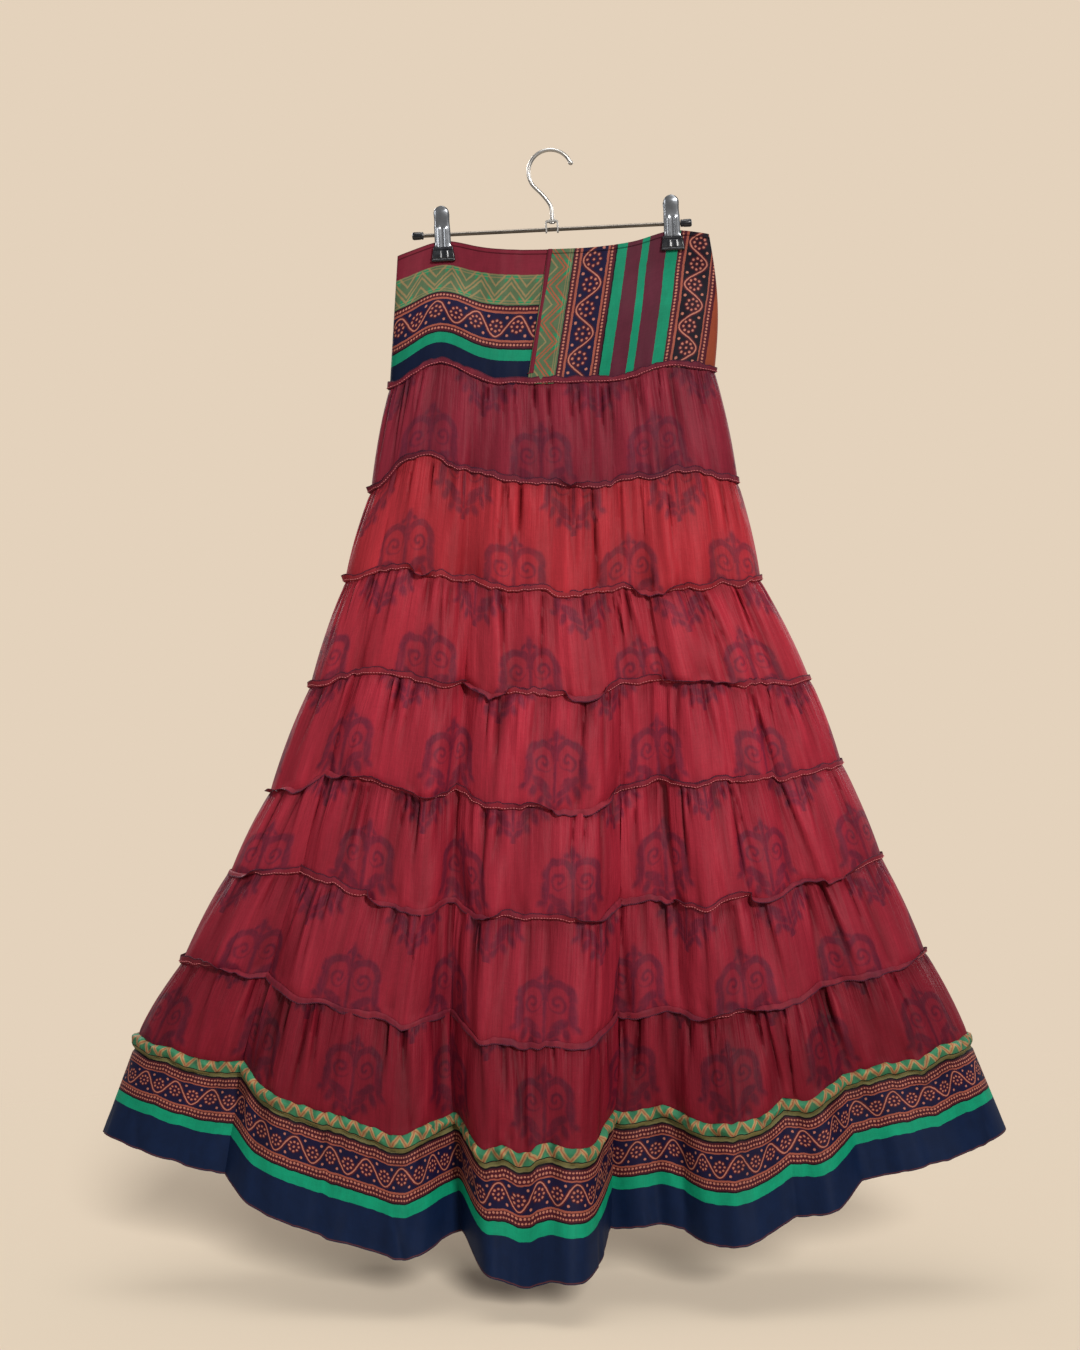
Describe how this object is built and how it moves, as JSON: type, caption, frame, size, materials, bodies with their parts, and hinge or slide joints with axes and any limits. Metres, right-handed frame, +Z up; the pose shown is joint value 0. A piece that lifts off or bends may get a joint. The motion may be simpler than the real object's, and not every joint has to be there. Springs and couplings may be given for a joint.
{
  "type": "tiered maxi skirt on a clip hanger",
  "caption": "Long flared skirt with a fitted printed yoke, gathered tiers and a printed hem border, hanging open from a chrome wire hanger by two spring clips.",
  "frame": {"origin": "inside top of the hook, where the hanger rests on its rail", "axes": "+Z up, +X to the right as seen from the front, -Y out of the front"},
  "size_m": [0.902, 0.2748, 1.1039],
  "materials": {
    "red_cloth": "printed rayon, soft sheen",
    "yoke_left_cloth": "border print across",
    "yoke_right_cloth": "stripes and border print down",
    "binding_cloth": "plain",
    "border_cloth": "border print",
    "chrome": "polished",
    "black_plastic": "satin"
  },
  "bodies": {
    "root": {"yoke_front_left": "yoke_left_cloth", "yoke_front_right": "yoke_right_cloth", "yoke_back": "yoke_left_cloth", "yoke_lap_binding": "binding_cloth", "tier_1": "red_cloth", "tier_2": "red_cloth", "tier_3": "red_cloth", "tier_4": "red_cloth", "tier_5": "red_cloth", "tier_6": "red_cloth", "tier_7": "red_cloth", "hem_border": "border_cloth", "hanger_bar": "chrome", "hanger_hook": "chrome", "hanger_bracket": "chrome", "hanger_cap_left": "black_plastic", "hanger_cap_right": "black_plastic", "clip_left_front_plate": "chrome", "clip_left_front_jaw": "black_plastic", "clip_left_back_plate": "chrome", "clip_left_back_jaw": "black_plastic", "clip_left_spring": "chrome", "clip_right_front_plate": "chrome", "clip_right_front_jaw": "black_plastic", "clip_right_back_plate": "chrome", "clip_right_back_jaw": "black_plastic", "clip_right_spring": "chrome"}
  },
  "joints": []
}
